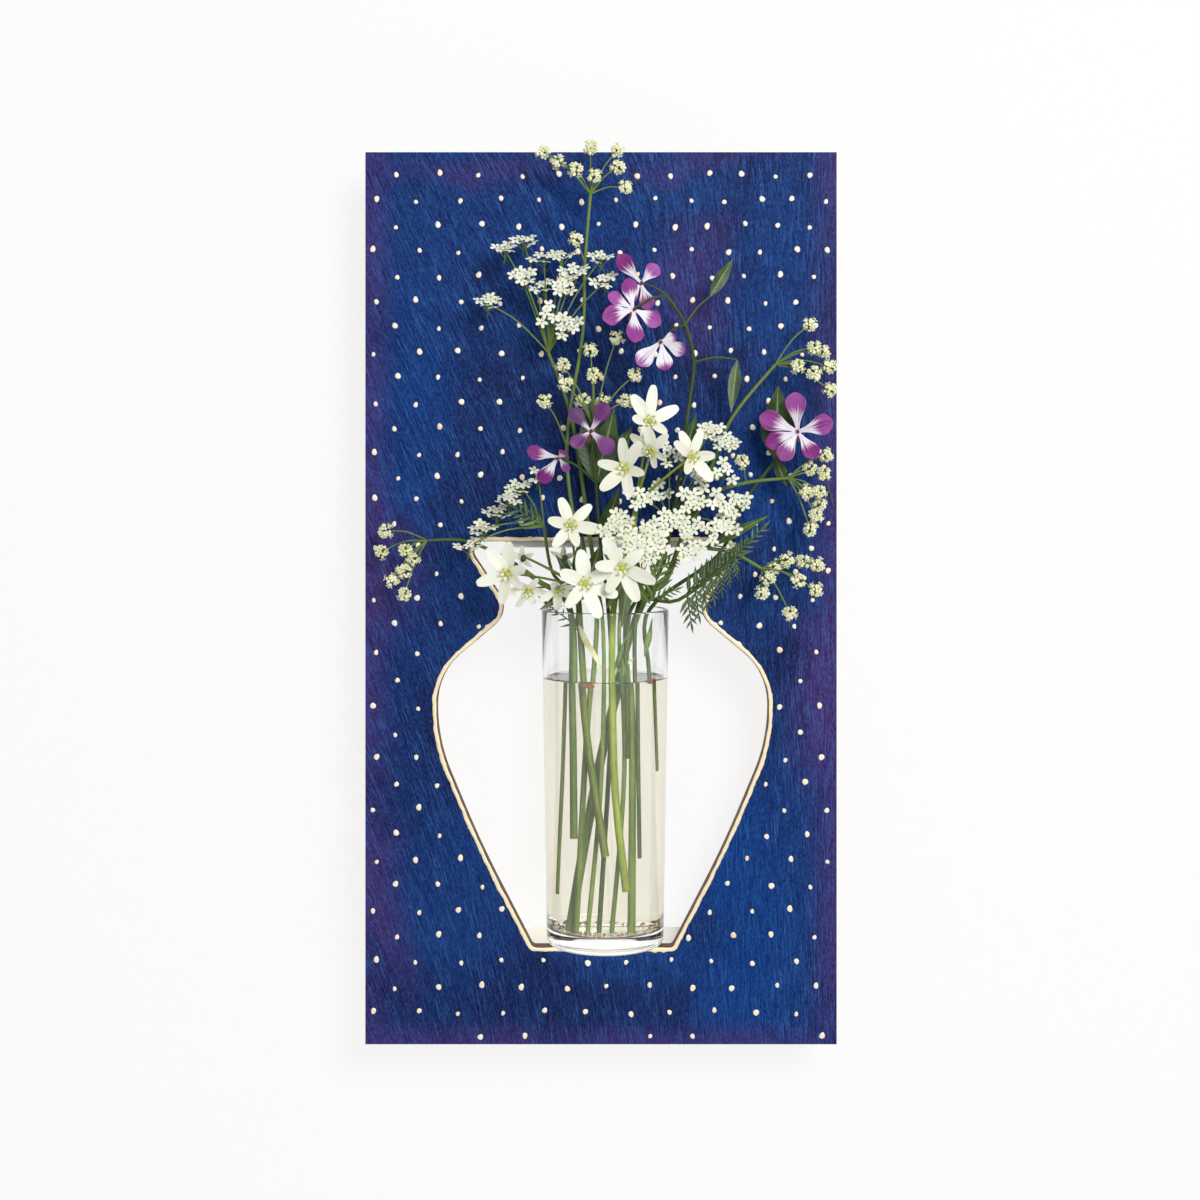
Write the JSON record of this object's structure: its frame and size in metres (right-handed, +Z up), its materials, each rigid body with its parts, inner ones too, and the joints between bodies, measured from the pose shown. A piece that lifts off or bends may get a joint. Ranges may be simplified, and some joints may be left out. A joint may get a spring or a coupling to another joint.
{
  "type": "wall vase",
  "caption": "Stained plywood wall panel with a vase-shaped cut-out, a glass cylinder standing in it on a ledge, and removable cut flowers.",
  "frame": {"origin": "centre of the keyhole plate's round entry, on the wall plane", "axes": "+Z up, +Y into the wall, -Y towards the room, +X to the right as seen from the room"},
  "size_m": [0.28, 0.1116, 0.5324],
  "materials": {
    "stained_plywood": "blue and violet wood stain under a satin varnish",
    "gold_paint": "pale gold acrylic paint put on by hand",
    "white_painted_wood": "matt white paint",
    "zinc_steel": "zinc plated",
    "felt": "pressed felt",
    "clear_glass": "clear pressed glass",
    "white_flower": "white petals on green stems",
    "lace_flower": "small cream florets on green stems",
    "green_bud": "pale green buds on green stems",
    "violet_flower": "violet petals, white at the base",
    "leaf": "green leaf"
  },
  "bodies": {
    "frame": {"panel": "stained_plywood", "gold_line": "gold_paint", "gold_dots": "gold_paint", "hanging_block": "white_painted_wood", "ledge_block": "white_painted_wood", "hanger_plate": "zinc_steel", "hanger_screws": "zinc_steel", "wall_bumpers": "felt"},
    "glass": {"glass": "clear_glass"},
    "bouquet": {"star_cutting_left": "white_flower", "star_cutting_right": "white_flower", "lace_cutting_tall": "lace_flower", "lace_cutting_left": "lace_flower", "lace_cutting_right": "lace_flower", "lace_cutting_low": "lace_flower", "bud_cutting_tall": "green_bud", "bud_cutting_left": "green_bud", "bud_cutting_right": "green_bud", "violet_cutting_tall": "violet_flower", "violet_cutting_centre": "violet_flower", "violet_cutting_right": "violet_flower", "fern_leaf": "leaf"}
  },
  "joints": [
    {"name": "glass_out", "type": "slide", "parent": "frame", "child": "glass", "axis": [0, -1, 0], "range_m": [0, 0.12]},
    {"name": "flowers_out", "type": "slide", "parent": "glass", "child": "bouquet", "axis": [0, 0, 1], "range_m": [0, 0.22]}
  ]
}
